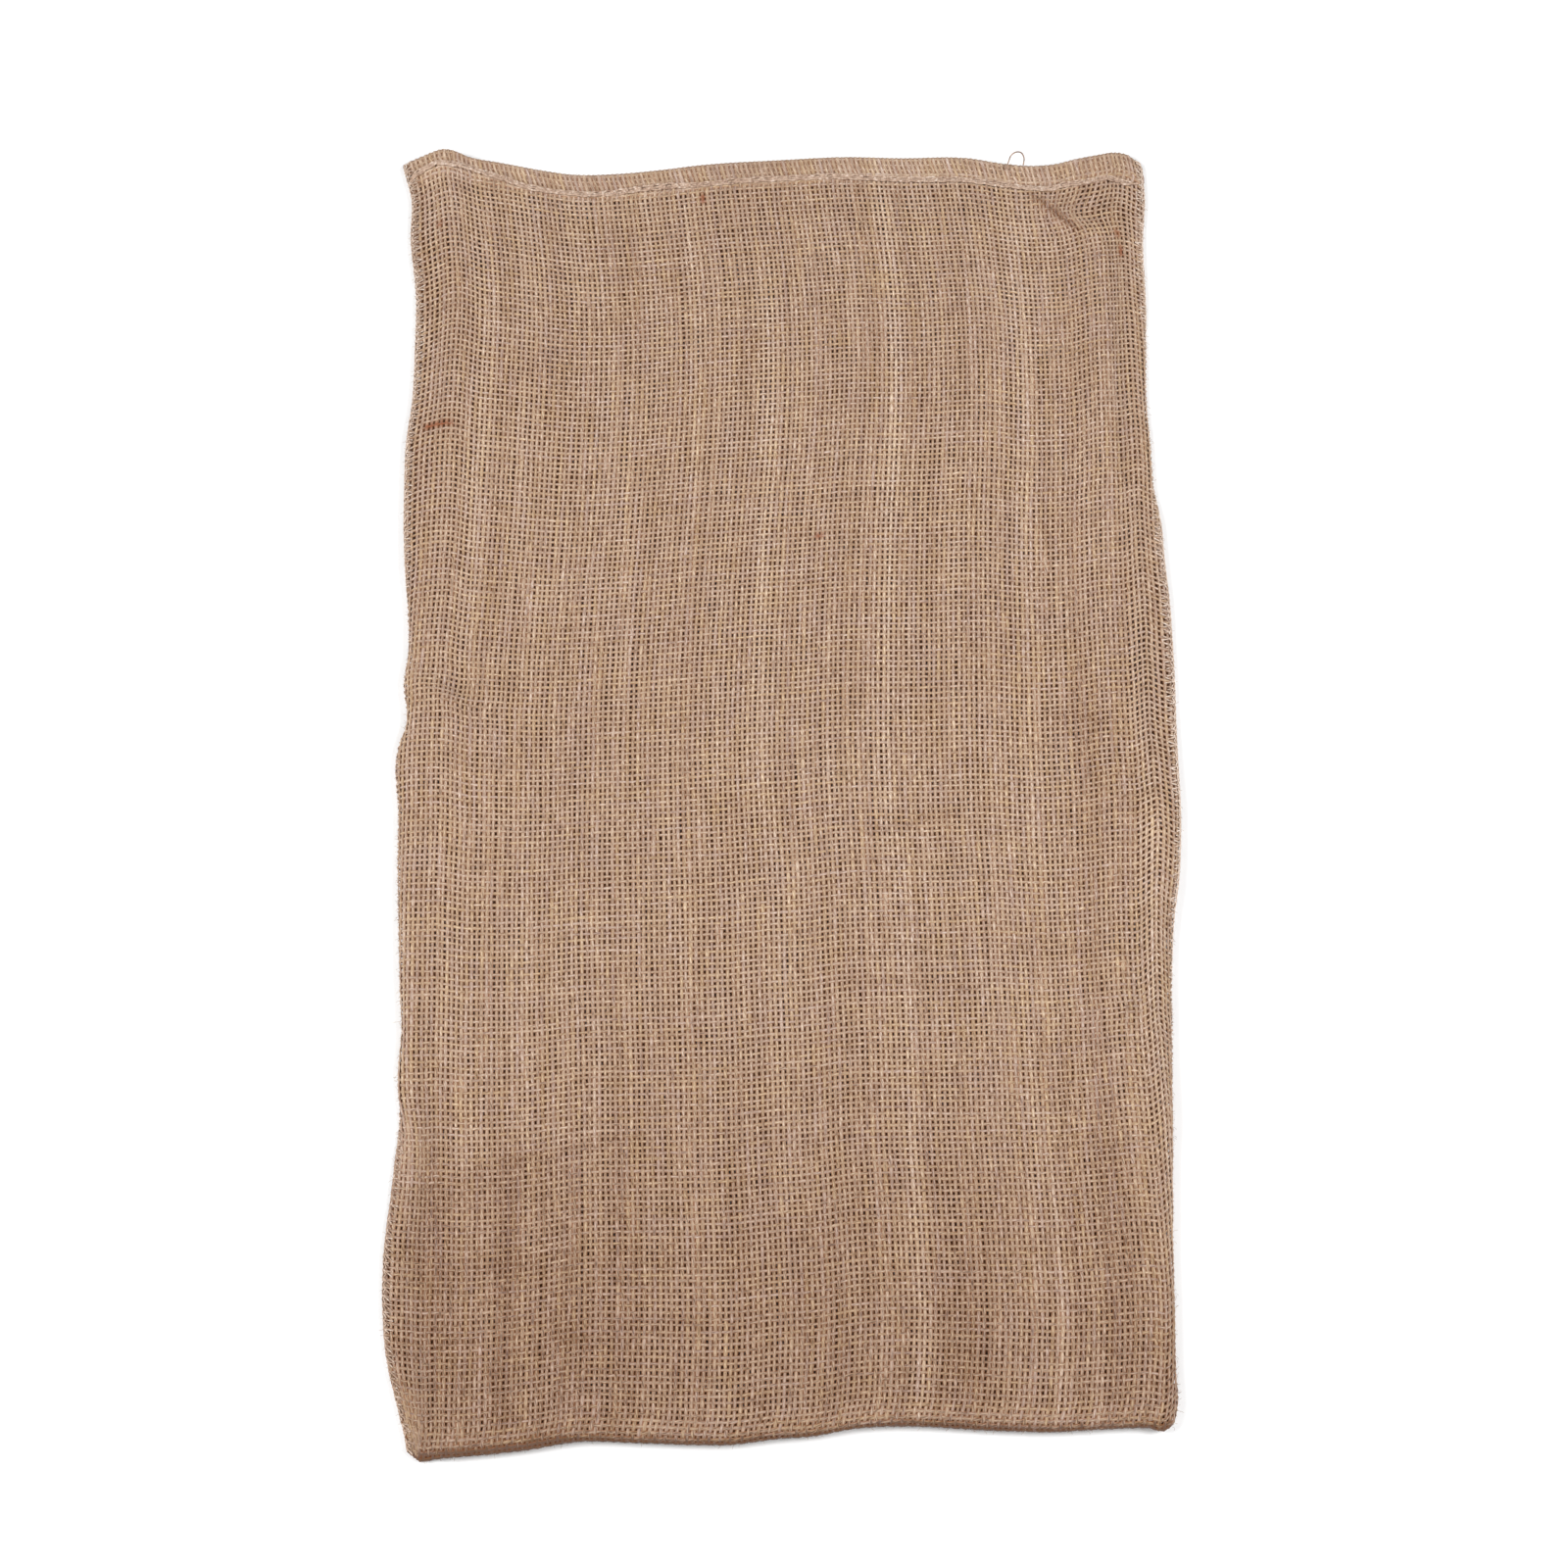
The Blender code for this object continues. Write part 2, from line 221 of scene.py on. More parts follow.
WARPS = 157  # lengthwise yarns, from side seam to side seam
WEFTS = 231  # crosswise yarns of one layer, from the mouth to the bottom fold
WARP_PITCH = 3.83
WEFT_PITCH = 4.27
WARP_HALF = 1.35  # half a lengthwise yarn's width
WEFT_HALF = 1.09
YARN_RISE = 0.56  # middle line to the top of a yarn
YARN_BELLY = 0.28  # middle line down to its flat side
WARP_WAVE = 0.28  # how far each yarn rises over the one that it crosses, and sinks under it
WEFT_WAVE = 0.4
DEPTH = 0.92  # the cloth's outer face to its middle
WARP_OVERHANG = 1.3  # the crosswise yarns reach this far past the outermost lengthwise ones
CLOTH_BESIDE = 30.0  # the cloth outside the outermost two of the lines below
STRIPS = [0, 39, 78, 118, 157]  # the lengthwise yarns at which the cloth is divided into pieces

# Where five lengthwise yarns run, at 5, 25, 50, 75 and 95 per cent of the width: up, then each one's x.
WARP_PATHS = np.array([
    (5, -238, -131, 14, 156, 267),
    (80, -242, -131, 16, 161, 273),
    (140, -244, -132, 14, 159, 271),
    (200, -246, -134, 11, 156, 268),
    (260, -250, -136, 10, 155, 265),
    (320, -252, -139, 8, 154, 264),
    (380, -254, -141, 7, 152, 266),
    (440, -255, -142, 4, 150, 268),
    (500, -257, -143, 2, 150, 268),
    (560, -257, -143, 3, 151, 268),
    (620, -255, -141, 5, 152, 268),
    (680, -254, -138, 8, 154, 269),
    (740, -254, -136, 12, 157, 270),
    (800, -254, -135, 14, 159, 270),
    (860, -254, -136, 13, 158, 271),
    (900, -257, -139, 10, 155, 271),
    (940, -262, -144, 5, 151, 270),
    (985, -270, -150, 0, 145, 270),
])
# How far the crosswise yarns have been pulled up, at each share of the width.
WEFT_LIFT = np.array([
    (0, 0), (0.15, 0), (0.28, 3), (0.4, 4.5), (0.55, 4.5), (0.65, 4.5), (0.78, 8), (0.9, 10), (1, 10),
])


def run(points):
    """The distance along a line of points, at each of them."""
    return np.concatenate([[0], np.cumsum(np.linalg.norm(np.diff(points, axis=0), axis=1))])


def along_line(line, distances, wanted):
    """The points at the wanted distances along a line."""
    columns = [np.interp(wanted, distances, column) for column in line.T]
    return np.stack(columns, axis=-1)


# Across each row of the front, on round its sides to where the cloth has rolled under.
warp_shares = (np.arange(WARPS) + 0.5) / WARPS
round_side = 70  # points of the back that are taken on to the front's row, at each side
tucked = int(np.searchsorted(alongs * NOMINAL_LENGTH, 7))  # the back's first row clear of the fold's round
front_lines = np.zeros((len(alongs), WARPS, 4))
back_lines = np.zeros((len(alongs), WARPS, 4))
rolled_left = np.zeros(len(alongs))
rolled_right = np.zeros(len(alongs))
seam_left = np.zeros(len(alongs))
seam_right = np.zeros(len(alongs))
for row, along in enumerate(alongs):
    up = along * NOMINAL_LENGTH
    under = back_face[max(row, tucked)]
    line = np.concatenate([under[round_side:0:-1], front_face[row], under[-2:-round_side - 2:-1]])
    distances = run(line)
    distances -= distances[round_side]
    width = distances[round_side + len(shares) - 1]
    marks = [through(up, WARP_PATHS, column) for column in range(1, 6)]
    marks = np.interp(marks, front_face[row][:, 0], run(front_face[row]))
    left_flat, right_flat = (np.clip(through(up, SECTIONS, column), 0, 1) for column in (3, 4))
    first = np.clip(marks[0] - CLOTH_BESIDE, 0.6 - ROLLED_UNDER * (1 - left_flat), 2)
    last = np.clip(marks[4] + CLOTH_BESIDE, width - 2, width - 0.6 + ROLLED_UNDER * (1 - right_flat))
    places = np.interp(warp_shares, [0, 0.05, 0.25, 0.5, 0.75, 0.95, 1], [first, *marks, last])
    front_lines[row, :, :3] = along_line(line, distances, places)
    seam_left[row] = first
    seam_right[row] = last - width
    rolled_left[row] = max(0, -first)
    rolled_right[row] = max(0, last - width)
    if row == 0:
        fold_places = places / width
        tuck_left = np.maximum(-places, 0)
        tuck_right = np.maximum(places - width, 0)

# The back: straight up between the two seams, from where each yarn comes round the fold.
for row, along in enumerate(alongs):
    for is_tucked in (False, True):
        line = back_face[max(row, tucked) if is_tucked else row]
        distances = run(line)
        width = distances[-1]
        spread = np.interp(warp_shares, [0, 1], [rolled_left[row] + 1, width - rolled_right[row] - 1])
        joined = np.where(fold_places < 0, tuck_left, fold_places * width)
        joined = np.where(fold_places > 1, width - tuck_right, joined)
        places = joined + (spread - joined) * ease(along * NOMINAL_LENGTH / 90)
        from_edge = np.minimum(places, width - places)
        folded = np.where(places < width / 2, rolled_left[row], rolled_right[row]) + 6 - from_edge
        sink = 1.5 * ease(folded / 6) * ease(along * NOMINAL_LENGTH / 9)
        made = np.concatenate([along_line(line, distances, places), sink[:, None]], axis=1)
        chosen = (tuck_left + tuck_right > 0) == is_tucked
        back_lines[row, chosen] = made[chosen]


def crossings(lines, lift):
    """The points where the yarns cross, with each lengthwise yarn's two ends, from its line of points."""
    points = np.zeros((WARPS, WEFTS + 2, 4))
    for number, share in enumerate(warp_shares):
        line = lines[:, number]
        distances = run(line[:, :3])
        length = distances[-1]
        share_down = (np.arange(WEFTS) + 0.5) / WEFTS
        # beaten up a little closer towards the bottom
        wanted = length * (share_down + 0.05 * share_down * (1 - share_down))
        pulled = through(share, WEFT_LIFT) * lift
        wanted = wanted - pulled * ease(wanted / 210) * ease((length - wanted) / 160)
        points[number] = along_line(line, distances, np.concatenate([[0], wanted, [length]]))
    return points


# How far down from the mouth edge the turned-in layer's crosswise yarns lie, with its two ends.
HEM_ROWS = np.array([-0.2, 4.3, 8.6, 12.9, 17.1, 21.4, 23.8])


def turned_in(lines):
    """The same for the hem's turned-in layer, from the mouth edge down, on the inside of the cloth."""
    points = np.zeros((WARPS, len(HEM_ROWS), 4))
    for number in range(WARPS):
        line = lines[:, number]
        points[number] = along_line(line, run(line[:, :3]), HEM_ROWS)
    # its yarns lie between those of the cloth in front
    points[:-1, 1:] = (points[:-1, 1:] + points[1:, 1:]) / 2
    # and this much deeper
    points[..., 3] = 1.15
    points[:, 0, 3] = 0.8
    return points


TURNED_EDGE = 0.45  # the yarns' ends bend this far in over the mouth edge
front_points = crossings(front_lines[::-1], 1.0)
front_points[:, 0, 3] = TURNED_EDGE
back_points = crossings(back_lines, 0.0)
back_points[:, -1, 3] = TURNED_EDGE
front_hem_points = turned_in(front_lines[::-1])
back_hem_points = turned_in(back_lines[::-1])

chance = np.random.default_rng(41)


def wander(yarns, places, reach):
    """A slow drift along each yarn, about -1 to 1, that turns every few crossings."""
    knots = chance.normal(0, 0.7, (yarns, places // reach + 3))
    at = np.arange(places) / reach + chance.random((yarns, 1)) * 0.9
    row = at.astype(int)
    yarn = np.arange(yarns)[:, None]
    return knots[yarn, row] + (knots[yarn, row + 1] - knots[yarn, row]) * ease(at - row)


def unit(vectors):
    """The vectors, made one long."""
    return vectors / np.maximum(np.linalg.norm(vectors, axis=-1, keepdims=True), 1e-9)


def soften(field, times):
    """Each value averaged with the ones beside it."""
    for _ in range(times):
        for axis in (0, 1):
            padded = np.concatenate([field.take([0], axis), field, field.take([-1], axis)], axis)
            count = field.shape[axis]
            before = padded.take(range(count), axis)
            after = padded.take(range(2, count + 2), axis)
            field = (before + 2 * field + after) / 4
    return field


def widths(yarns, places, half):
    """Half widths along each yarn: thick and thin yarns, slow swelling and a few slubs."""
    made = 1 + 0.05 * chance.normal(0, 1, (yarns, 1)) + 0.07 * wander(yarns, places, 9)
    made += 0.13 * wander(yarns, places, 2) + 0.5 * np.maximum(wander(yarns, places, 4) - 1.45, 0)
    return half * np.clip(made, 0.62, 1.75)


class Yarns:
    """What the yarns of one layer of cloth are like: their middle lines, widths and colours."""

    def __init__(self, points, warp_half, weft_half, is_front=False):
        self.is_front = is_front
        self.sink = points[..., 3:]
        points = points[..., :3]
        across = np.gradient(points, axis=0)
        down = np.gradient(points, axis=1)
        self.out = unit(soften(np.cross(down, across), 2))
        self.across = unit(soften(across, 1))
        self.down = unit(soften(down, 1))
        warps, places = points.shape[:2]
        drift = 0.22 * wander(warps, places, 15) + 0.2 * wander(warps, places, 2)
        drift += 0.08 * chance.normal(0, 1, (warps, 1))
        slide = 0.2 * wander(places, warps, 15).T + 0.24 * wander(places, warps, 2).T
        slide += 0.07 * chance.normal(0, 1, (1, places))
        hold = ease((0.5 + np.arange(places)) / 3) * ease((places - 0.5 - np.arange(places)) / 3)
        drift = drift * hold
        slide = slide * hold
        self.points = points + self.across * drift[..., None] + self.down * slide[..., None]
        self.over = np.where((np.arange(warps)[:, None] + np.arange(places)) % 2, 1.0, -1.0)
        self.over[:, [0, -1]] = 0
        self.warp_kinds = chance.random(warps)
        self.weft_kinds = chance.random(places)
        self.warp_halves = widths(warps, places, warp_half) * (1 + 0.06 * self.over)
        self.weft_halves = widths(places, warps, weft_half).T * (1 - 0.06 * self.over)


def gather(yarns, from_mouth):
    """The hem drawn together above its stitch: slanting lengthwise yarns that hide the crosswise ones."""
    drawn = ease((17 - from_mouth) / 5)
    dense = ease((24 - from_mouth) / 3)
    slant = 1.5 * np.clip(from_mouth / 8 - 1, -1, 1) * ease((24 - from_mouth) / 8)
    yarns.points = yarns.points + yarns.across * slant[:, None]
    yarns.over = yarns.over * (1 - drawn) + 0.8 * drawn
    yarns.warp_halves = yarns.warp_halves * (1 + 0.2 * dense)
    yarns.weft_halves = yarns.weft_halves * (1 + 0.5 * dense)


def tubes(middles, sides, outs, halves, half):
    """Rings of three corners, anticlockwise about the way that the yarn runs."""
    halves = halves[..., None]
    rise = YARN_RISE * np.sqrt(halves / half)
    right = middles + sides * halves - outs * YARN_BELLY
    ridge = middles + outs * rise
    left = middles - sides * halves - outs * YARN_BELLY
    return np.stack([right, ridge, left], axis=2)


def tube_faces(rings, first_number):
    """The sides of the closed yarns, in quads, and their two ends."""
    count, places = rings.shape[:2]
    numbers = first_number + np.arange(count * places * 3).reshape(count, places, 3)
    ahead = np.roll(numbers, -1, axis=2)
    sides = np.stack([numbers[:, :-1], ahead[:, :-1], ahead[:, 1:], numbers[:, 1:]], axis=-1)
    return sides.reshape(-1, 4), np.concatenate([numbers[:, 0, ::-1], numbers[:, -1]])


def tube_map(places, starts, ends, lows, high):
    """Where each yarn's faces lie on the flat map: a narrow band of its own for each yarn."""
    share = np.linspace(0, 1, places)
    run_at = starts[:, None] + (ends - starts)[:, None] * share
    v_low = lows[:, None, None] + np.arange(3) / 3 * high + 0 * run_at[:, :-1, None]
    v_high = v_low + high / 3
    u_near = run_at[:, :-1, None] + 0 * v_low
    u_far = run_at[:, 1:, None] + 0 * v_low
    u = np.stack([u_near, u_near, u_far, u_far], axis=-1)
    v = np.stack([v_low, v_high, v_high, v_low], axis=-1)
    sides = np.stack([u, v], axis=-1).reshape(-1, 4, 2)
    caps = []
    for at, step in ((starts, -0.0012), (ends, 0.0012)):
        corners = [(at, lows), (at + step, lows), (at + step, lows + 0.3 * high)]
        caps.append(np.stack([np.stack(corner, axis=-1) for corner in corners], axis=1))
    return sides, np.concatenate(caps)


def low_wefts(yarns, own):
    """1 where a crosswise yarn runs under, 0 where it runs over, for each of a strip's rings."""
    low = (1 + yarns.over[own, 1:-1]) / 2
    middle = np.full((1, low.shape[1]), 0.5)
    return np.concatenate([middle, low, middle]).T.ravel()


def weave(name, yarns, first, beyond):
    """One strip of cloth as a mesh: its lengthwise yarns, and its part of every crosswise yarn."""
    depth = yarns.points - yarns.out * (DEPTH + yarns.sink)
    own = slice(first, beyond)
    warp_middles = depth + yarns.out * yarns.over[..., None] * WARP_WAVE
    warp_rings = tubes(warp_middles[own], yarns.across[own], yarns.out[own], yarns.warp_halves[own],
                       WARP_HALF)

    rows = slice(1, -1)
    weft_middles = (depth - yarns.out * yarns.over[..., None] * WEFT_WAVE)[:, rows]
    across, down, out = (field[:, rows] for field in (yarns.across, yarns.down, yarns.out))
    rings = tubes(weft_middles, -down, out, yarns.weft_halves[:, rows], WEFT_HALF)
    # each strip's crosswise yarns end halfway to the next strip, or just past the outermost yarn
    if first:
        before = (rings[first - 1] + rings[first]) / 2
    else:
        before = rings[0] - WARP_OVERHANG * across[0][:, None]
    if beyond < len(rings):
        after = (rings[beyond - 1] + rings[beyond]) / 2
    else:
        after = rings[-1] + WARP_OVERHANG * across[-1][:, None]
    weft_rings = np.concatenate([before[None], rings[own], after[None]]).swapaxes(0, 1)

    warp_sides, warp_caps = tube_faces(warp_rings, 0)
    weft_sides, weft_caps = tube_faces(weft_rings, warp_rings.size // 3)
    # the flat map: lengthwise yarns in its upper half, crosswise ones below, up to six side by side
    count = len(warp_rings)
    lows = 0.53 + 0.47 * (np.arange(count) + 0.1) / count
    warp_map, warp_cap_map = tube_map(warp_rings.shape[1], np.full(count, 0.004), np.full(count, 0.996),
                                      lows, 0.47 / count * 0.8)
    count = len(weft_rings)
    lanes = min(6, count)
    lane = np.arange(count) % lanes
    level = np.arange(count) // lanes
    levels = level.max() + 1
    lows = 0.52 * (level + 0.1) / levels
    weft_map, weft_cap_map = tube_map(weft_rings.shape[1], lane / lanes + 0.004, (lane + 1) / lanes - 0.004,
                                      lows, 0.52 / levels * 0.8)

    mesh = bpy.data.meshes.new(name)
    points = np.concatenate([warp_rings.reshape(-1, 3), weft_rings.reshape(-1, 3)])
    points[:, 2] = np.maximum(points[:, 2], 0.03)  # on the floor, not in it
    faces = np.concatenate([warp_sides, weft_sides]).tolist()
    faces += np.concatenate([warp_caps, weft_caps]).tolist()
    mesh.from_pydata((points * MM).tolist(), [], faces)
    maps = (warp_map, weft_map, warp_cap_map, weft_cap_map)
    flat_map = np.concatenate([part.reshape(-1, 2) for part in maps])
    mesh.uv_layers.new(name="OFBake").data.foreach_set("uv", flat_map.astype(np.float32).ravel())

    # What the finish reads at each point: how far along its yarn it is, which yarn that is, how far round
    # it, and how much painted shade it takes down its sides and underneath;
    warp_runs = (np.arange(warp_rings.shape[1]) * WEFT_PITCH)[None, :, None] + 0 * warp_rings[..., 0]
    weft_places = np.arange(weft_rings.shape[1]) + first
    weft_runs = (weft_places * WARP_PITCH)[None, :, None] + 0 * weft_rings[..., 0]
    warp_kinds = yarns.warp_kinds[own][:, None, None] + 0 * warp_rings[..., 0]
    weft_kinds = yarns.weft_kinds[rows][:, None, None] + 0 * weft_rings[..., 0]
    turns = np.tile([0.0, 0.5, 1.0], len(points) // 3)
    low = np.concatenate([((1 - yarns.over[own]) / 2).ravel(), low_wefts(yarns, own)])
    # painted shade: 1 down each yarn's sides and underside, 0.3 on its top where it runs under
    side_shade = np.stack([np.ones_like(low), 0.3 * low, np.ones_like(low)], axis=-1).ravel()
    # where on the cloth it is;
    warp_numbers = np.arange(first, beyond)[:, None, None] + 0 * warp_rings[..., 0]
    weft_numbers = (weft_places - 1)[None, :, None] + 0 * weft_rings[..., 0]
    numbers = np.concatenate([warp_numbers.ravel(), weft_numbers.ravel()])
    x = points[:, 0]
    up = points[:, 1] + ORIGIN_UP
    # how much paler or darker its fibre is there, the painted highlight and painted shade it takes, and any
    # rust-brown spot.
    from_fold = up - through((numbers + 0.5) / WARPS, BOTTOM)
    # painted shade on the bottom fold's rim, where the cloth turns under
    painted_shade_and_patch = 0.1 * ease((9 - from_fold) / 8) + 0.3 * ease((5 - from_fold) / 3.5)
    lots_and_ridge_light = np.zeros(len(points))
    rust = np.zeros(len(points))
    if yarns.is_front:
        for number, lowest, highest, half_width, paler in FIBRE_LOTS_AND_RIDGE_LIGHT:
            beside = np.exp(-(((numbers - number) / half_width) ** 2))
            lots_and_ridge_light += paler * beside * ease((up - lowest) / 70 + 0.5) * ease((highest - up) / 70 + 0.5)
        lots_and_ridge_light[warp_numbers.size:] *= 0.5
        # painted shade along the creases
        for *line, half_width, dark in SHADED_CREASES:
            painted_shade_and_patch += dark * np.exp(-((from_line(x, up, *line) / half_width) ** 2))
        # the lower left corner is a shade darker, with a slanting edge
        painted_shade_and_patch += 0.05 * ease((233 + 0.2 * x - up) / 14) * ease((-75 - x) / 40)
        for spot_x, spot_up, half_x, half_up in RUST_SPOTS:
            away = np.hypot((x - spot_x) / half_x, (up - spot_up) / half_up)
            rust = np.maximum(rust, ease(2 - 1.6 * away))
    values = {"run": np.concatenate([warp_runs.ravel(), weft_runs.ravel()]),
              "yarn": np.concatenate([warp_kinds.ravel(), weft_kinds.ravel()]),
              "turn": turns, "side_shade": side_shade, "rust": rust,
              "across": numbers * WARP_PITCH, "along": up, "fibre_tone_and_painted_light": lots_and_ridge_light - painted_shade_and_patch}
    for attribute, value in values.items():
        layer = mesh.attributes.new(attribute, "FLOAT", "POINT")
        layer.data.foreach_set("value", value.astype(np.float32))
    mesh.shade_smooth()
    mesh.set_sharp_from_angle(angle=np.radians(100))
    mesh.materials.append(hessian)
    piece = bpy.data.objects.new(name, mesh)
    bpy.context.collection.objects.link(piece)
    return piece


# Groups of lengthwise yarns of paler or browner fibre, and at yarn 151 a painted highlight along the
# right ridge: the middle yarn, from and to how far up, half the group's width in yarns, and how much paler.
FIBRE_LOTS_AND_RIDGE_LIGHT = [
    (99.5, 430, 1000, 1.6, 0.14),
    (100, 540, 800, 1.3, 0.06),
    (102, 0, 430, 1.5, 0.09),
    (73.5, 420, 900, 2.2, 0.09),
    (78, 150, 420, 1.8, 0.05),
    (127, 400, 950, 2.0, 0.055),
    (128, 0, 210, 1.2, 0.08),
    (58.5, 640, 950, 1.2, 0.07),
    (59, 320, 420, 1.5, 0.06),
    (79, 740, 950, 1.2, 0.06),
    (33, 450, 700, 1.6, 0.05),
    (14, 560, 900, 2.2, 0.05),
    (6, 750, 930, 3.5, -0.07),
    (27, 760, 830, 4.0, -0.06),
    (43, 860, 940, 3.5, -0.06),
    (139, 760, 960, 3.5, -0.07),
    (139, 0, 560, 3.0, -0.08),
    # painted highlight along the right ridge
    (151, 90, 450, 2.0, 0.12),
    (1, 0, 280, 2.0, 0.08),
    (85, 0, 130, 1.8, -0.09),
    (24, 0, 240, 2.5, -0.07),
    (10, 50, 240, 2.5, -0.08),
    (111, 0, 140, 3.5, -0.07),
]

# Painted shade along the creases of the folded sack, drawn as dark lines: start x, start up, end x, end up,
# half width and how dark.
SHADED_CREASES = [
    (206, 961, 243, 929, 2.4, 0.3),
    (64, 430, 134, 444, 3.5, 0.1),
    (53, 319, 146, 312, 3.5, 0.1),
    (202, 523, 247, 516, 3.5, 0.1),
    (-187, 190, -96, 208, 3.5, 0.1),
]

# Rust-brown spots on the cloth: x, up, half width, half height.
RUST_SPOTS = [
    (-262, 759, 14, 1.6),
    (-268, 936, 3, 2.2),
    (275, 930, 2.5, 3),
    (277, 915, 2, 5),
    (-58, 959, 2, 4),
    (34, 666, 3, 2),
]


def linear(colour):
    """A hex colour as the linear one that the shader takes."""
    parts = [int(colour[place:place + 2], 16) / 255 for place in (1, 3, 5)]
    return [part / 12.92 if part <= 0.04045 else ((part + 0.055) / 1.055) ** 2.4 for part in parts] + [1]


def colours(ramp, *stops):
    """Sets a colour ramp node to stops of place and hex colour."""
    elements = ramp.color_ramp.elements
    while len(elements) < len(stops):
        elements.new(0.5)
    for element, (place, colour) in zip(elements, stops):
        element.position = place
        element.color = linear(colour)


# Jute hessian, spun from raw fibre and woven undyed: dull sandy yarns, each of its own tan, grey or
# golden shade that changes along it with the fibre, with a rough, faintly sheeny, fibrous surface.
hessian = bpy.data.materials.new("jute hessian, undyed and loom-finished")
hessian.use_nodes = True
shader = hessian.node_tree.nodes["Principled BSDF"]


def node(kind, links=None, output=0, **settings):
    """Adds a node to the hessian and gives its output. A link is a value, or another node's output."""
    made = hessian.node_tree.nodes.new("ShaderNode" + kind)
    for name, value in settings.items():
        setattr(made, name, value)
    for name, source in (links or {}).items():
        if isinstance(source, bpy.types.NodeSocket):
            hessian.node_tree.links.new(source, made.inputs[name])
        else:
            made.inputs[name].default_value = source
    return made.outputs[output]


run_at, yarn, turn, side_shade, rust, across, along, fibre_tone_and_painted_light = (
    node("Attribute", output="Fac", attribute_name=name)
    for name in ("run", "yarn", "turn", "side_shade", "rust", "across", "along", "fibre_tone_and_painted_light")
)
lane = node("Math", {0: yarn, 1: 173.0}, operation="MULTIPLY")
yarn_place = node("CombineXYZ", {"X": run_at, "Y": lane})
cloth_place = node("CombineXYZ", {"X": across, "Y": along})
# shade changes over some 60 mm of yarn
slow_place = node("VectorMath", {0: yarn_place, 1: (1 / 60, 1, 0)}, operation="MULTIPLY")
slow = node("TexNoise", {"Vector": slow_place, "Scale": 1.0, "Detail": 2.0})
# fibres show as streaks some 5 mm long and 0.4 mm wide, wound round the yarn once in 14 mm
fine_run = node("Math", {0: run_at, 1: 1 / 5}, operation="MULTIPLY")
wound = node("Math", {0: run_at, 1: 0.36, 2: lane}, operation="MULTIPLY_ADD")
wound = node("Math", {0: turn, 1: 5.0, 2: wound}, operation="MULTIPLY_ADD")
fine_place = node("CombineXYZ", {"X": fine_run, "Y": wound, "Z": lane})
fine = node("TexNoise", {"Vector": fine_place, "Scale": 1.0, "Detail": 3.0})
# each yarn has a shade of its own
own_shade = node("TexWhiteNoise", {"W": yarn}, noise_dimensions="1D")
# neighbouring yarns come from one lot of fibre: pale and dark bands, 16 mm or more wide, along the cloth
stretched = {0: cloth_place, 1: (1 / 16, 1 / 380, 0), 2: (0, 0, 3)}
band_place = node("VectorMath", stretched, operation="MULTIPLY_ADD")
band = node("TexNoise", {"Vector": band_place, "Scale": 1.0, "Detail": 3.0})
# and fainter ones across it
stretched = {0: cloth_place, 1: (1 / 300, 1 / 15, 0), 2: (0, 0, 8)}
cross_place = node("VectorMath", stretched, operation="MULTIPLY_ADD")
cross = node("TexNoise", {"Vector": cross_place, "Scale": 1.0, "Detail": 2.0})
# painted shade: the lower end a little darker, as though the light fell off towards it
lower_end = {"Value": along, "From Min": 40.0, "From Max": 370.0, "To Min": -0.11, "To Max": 0.0}
painted_lower_shade = node("MapRange", lower_end, interpolation_type="SMOOTHSTEP")
# the fibre attribute carries each yarn's fibre tone together with painted highlights and painted shade
shade = -0.57
for part, share in (
    (own_shade, 0.05), (slow, 0.26), (band, 0.26), (cross, 0.1), (fine, 1.45), (fibre_tone_and_painted_light, 1.0), (painted_lower_shade, 1.0),
):
    shade = node("Math", {0: part, 1: share, 2: shade}, operation="MULTIPLY_ADD")
tan = node("ValToRGB", {"Fac": shade})
colours(tan.node, (0.12, "#634a35"), (0.36, "#a0856a"), (0.58, "#baa081"), (0.84, "#e2ccb1"))
grey = node("ValToRGB", {"Fac": shade})
colours(grey.node, (0.12, "#634d42"), (0.36, "#9f8778"), (0.58, "#b69f90"), (0.84, "#dcccbf"))
# and each yarn turns from tan to grey and back, over some 45 mm
stretched = {0: yarn_place, 1: (1 / 45, 1, 0), 2: (0, 0, 5)}
hue_place = node("VectorMath", stretched, operation="MULTIPLY_ADD")
own_hue = node("TexNoise", {"Vector": hue_place, "Scale": 1.0, "Detail": 1.0})
own_hue = node("MapRange", {"Value": own_hue, "From Min": 0.3, "From Max": 0.7})
tinted = node("Mix", {0: own_hue, 6: tan, 7: grey}, 2, data_type="RGBA")
# rust has taken more on the raised fibres
raised = node("MapRange", {"Value": fine, "From Min": 0.35, "From Max": 0.5, "To Min": 0.6})
rust = node("Math", {0: rust, 1: raised}, operation="MULTIPLY")
spotted = node("Mix", {0: rust, 6: tinted, 7: linear("#8a4f32")}, 2, data_type="RGBA")
# painted shade: each yarn is darkened to brown down its sides and underneath, and a little on top where it
# dips under the yarn it crosses; its top is left pale
painted_shade_mix = node("Math", {0: side_shade, 1: 2.3}, operation="POWER")
painted_shade_mix = node("Math", {0: painted_shade_mix, 1: 0.8}, operation="MULTIPLY")
with_painted_shade = node("Mix", {0: painted_shade_mix, 6: spotted, 7: linear("#80481d")}, 2, data_type="RGBA")
hessian.node_tree.links.new(with_painted_shade, shader.inputs["Base Color"])
